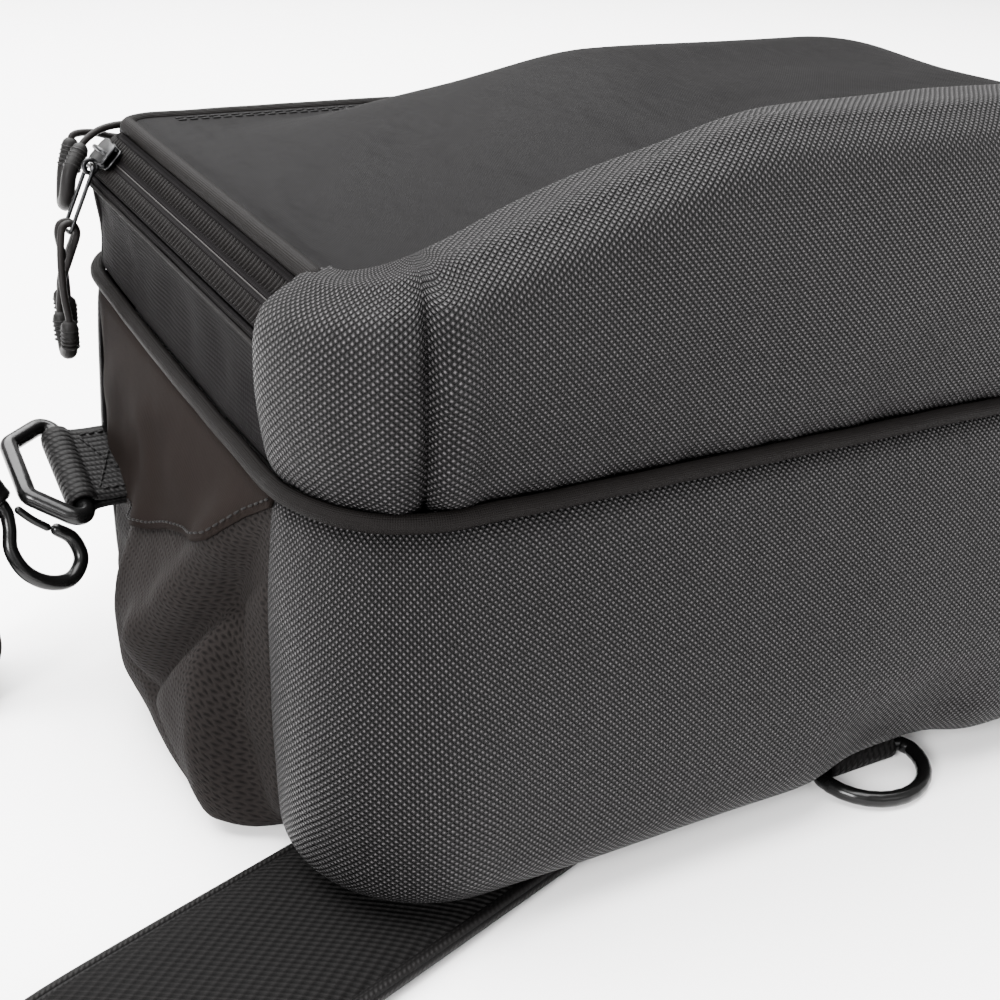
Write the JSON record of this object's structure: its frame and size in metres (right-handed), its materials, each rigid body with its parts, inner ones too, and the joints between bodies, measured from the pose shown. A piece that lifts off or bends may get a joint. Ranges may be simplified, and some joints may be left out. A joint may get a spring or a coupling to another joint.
{
  "type": "camera bag",
  "caption": "Soft padded shoulder camera bag lying on its back, with a zipped hinged front flap, stretch side pockets, snap-hook shoulder strap and movable padded dividers.",
  "frame": {"origin": "middle of the back pad's resting face, on the surface that the bag lies on", "axes": "+X along the base to the bag's right as seen from the base, +Y from the base to the top as worn, +Z from the back to the front flap"},
  "size_m": [0.5487, 0.2455, 0.1942],
  "materials": {
    "embossed_fabric": "coated polyester with a raised diamond emboss, semi-matte with small highlights",
    "smooth_nylon": "smooth tight nylon, soft sheen",
    "woven_nylon": "dark woven nylon, matte",
    "stretch_fabric": "brownish grey stretch knit, matte",
    "piping_fabric": "fabric covered cord, matte",
    "air_mesh": "black spacer mesh over foam",
    "webbing": "black ribbed polypropylene webbing and cord",
    "lining": "brushed grey loop lining over foam",
    "gloss_hardware": "moulded black acetal, glossy",
    "zip_metal": "dark plated zinc with worn bright edges",
    "moulded_grip": "soft moulded grip, satin"
  },
  "bodies": {
    "root": {"base_lower_panel": "embossed_fabric", "base_upper_panel": "embossed_fabric", "front_apron": "embossed_fabric", "back_panel": "smooth_nylon", "left_gusset": "woven_nylon", "right_gusset": "woven_nylon", "top_gusset": "woven_nylon", "top_lower_wall": "woven_nylon", "zip_tape_body": "woven_nylon", "left_side_wall": "stretch_fabric", "right_side_wall": "stretch_fabric", "left_pocket": "stretch_fabric", "right_pocket": "stretch_fabric", "main_piping": "piping_fabric", "back_pad": "air_mesh", "strap_pad": "air_mesh", "left_tab": "webbing", "right_tab": "webbing", "strap_web_left": "webbing", "strap_web_right": "webbing", "base_dee_tab": "webbing", "liner_floor": "lining", "liner_wall_base": "lining", "liner_wall_top": "lining", "liner_wall_left": "lining", "liner_wall_right": "lining", "left_swivel": "gloss_hardware", "right_swivel": "gloss_hardware"},
    "flap": {"flap_panel": "smooth_nylon", "flap_piping": "piping_fabric", "zip_tape_flap": "woven_nylon", "slider_top": "zip_metal"},
    "side_slider": {"slider_side": "zip_metal"},
    "pull_ring": {"pull_ring_side": "zip_metal"},
    "pull_outer": {"pull_cord_outer": "webbing", "pull_grip_outer": "moulded_grip"},
    "pull_inner": {"pull_cord_inner": "webbing", "pull_grip_inner": "moulded_grip"},
    "pull_top": {"pull_cord_top": "webbing", "pull_grip_top": "moulded_grip"},
    "left_strap_ring": {"left_ring": "gloss_hardware"},
    "right_strap_ring": {"right_ring": "gloss_hardware"},
    "left_snap_hook": {"left_hook": "gloss_hardware"},
    "right_snap_hook": {"right_hook": "gloss_hardware"},
    "left_hook_gate": {"left_gate": "gloss_hardware"},
    "right_hook_gate": {"right_gate": "gloss_hardware"},
    "dee_ring": {"base_dee_ring": "gloss_hardware"},
    "left_divider": {"divider_left": "lining"},
    "right_divider": {"divider_right": "lining", "divider_cross": "lining"},
    "adjuster": {"strap_adjuster": "gloss_hardware"}
  },
  "joints": [
    {"name": "flap_hinge", "type": "hinge", "parent": "root", "child": "flap", "pos_m": [0, -0.126, 0.19], "axis": [1, 0, 0], "range_deg": [0, 105]},
    {"name": "side_slider_slide", "type": "slide", "parent": "flap", "child": "side_slider", "axis": [0, -0.9976, -0.0698], "range_m": [0, 0.12]},
    {"name": "pull_ring_swing", "type": "hinge", "parent": "side_slider", "child": "pull_ring", "pos_m": [-0.16686, 0.01, 0.15863], "axis": [0, 1, 0], "range_deg": [0, 75]},
    {"name": "outer_pull_swing", "type": "hinge", "parent": "pull_ring", "child": "pull_outer", "pos_m": [-0.17531, 0.01, 0.1405], "axis": [0, 1, 0], "range_deg": [0, 35]},
    {"name": "inner_pull_swing", "type": "hinge", "parent": "pull_ring", "child": "pull_inner", "pos_m": [-0.17531, 0.01, 0.1405], "axis": [0, 1, 0], "range_deg": [0, 25]},
    {"name": "top_pull_lift", "type": "hinge", "parent": "flap", "child": "pull_top", "pos_m": [-0.1467, 0.0379, 0.1628], "axis": [0, 0.7071, -0.7071], "range_deg": [0, 80]},
    {"name": "left_ring_swing", "type": "hinge", "parent": "root", "child": "left_strap_ring", "pos_m": [-0.183, 0.006, 0.067], "axis": [0, 0.9397, 0.342], "range_deg": [0, 10]},
    {"name": "right_ring_swing", "type": "hinge", "parent": "root", "child": "right_strap_ring", "pos_m": [0.183, 0.006, 0.067], "axis": [0, -0.9397, -0.342], "range_deg": [0, 10]},
    {"name": "left_hook_swivel", "type": "hinge", "parent": "root", "child": "left_snap_hook", "pos_m": [-0.2065, -0.006, 0.065], "axis": [0.4801, -0.3001, -0.8243], "range_deg": [-10, 10]},
    {"name": "right_hook_swivel", "type": "hinge", "parent": "root", "child": "right_snap_hook", "pos_m": [0.2065, -0.006, 0.065], "axis": [-0.4801, -0.3001, -0.8243], "range_deg": [-10, 10]},
    {"name": "left_gate_hinge", "type": "hinge", "parent": "left_snap_hook", "child": "left_hook_gate", "pos_m": [-0.20159, -0.00606, 0.0623], "axis": [0.2363, -0.8606, 0.451], "range_deg": [-18, 0], "stiffness_Nm_per_rad": 0.02, "springref_deg": 20.05},
    {"name": "right_gate_hinge", "type": "hinge", "parent": "right_snap_hook", "child": "right_hook_gate", "pos_m": [0.20159, -0.00606, 0.0623], "axis": [0.2363, 0.8606, -0.451], "range_deg": [-18, 0], "stiffness_Nm_per_rad": 0.02, "springref_deg": 20.05},
    {"name": "dee_ring_swing", "type": "hinge", "parent": "root", "child": "dee_ring", "pos_m": [0, -0.158, 0.004], "axis": [-1, 0, 0], "range_deg": [0, 28]},
    {"name": "left_divider_slide", "type": "slide", "parent": "root", "child": "left_divider", "axis": [1, 0, 0], "range_m": [-0.02, 0.02]},
    {"name": "right_divider_slide", "type": "slide", "parent": "root", "child": "right_divider", "axis": [1, 0, 0], "range_m": [-0.02, 0.02]},
    {"name": "adjuster_slide", "type": "slide", "parent": "root", "child": "adjuster", "axis": [0, -1, 0], "range_m": [-0.006, 0.038]}
  ]
}
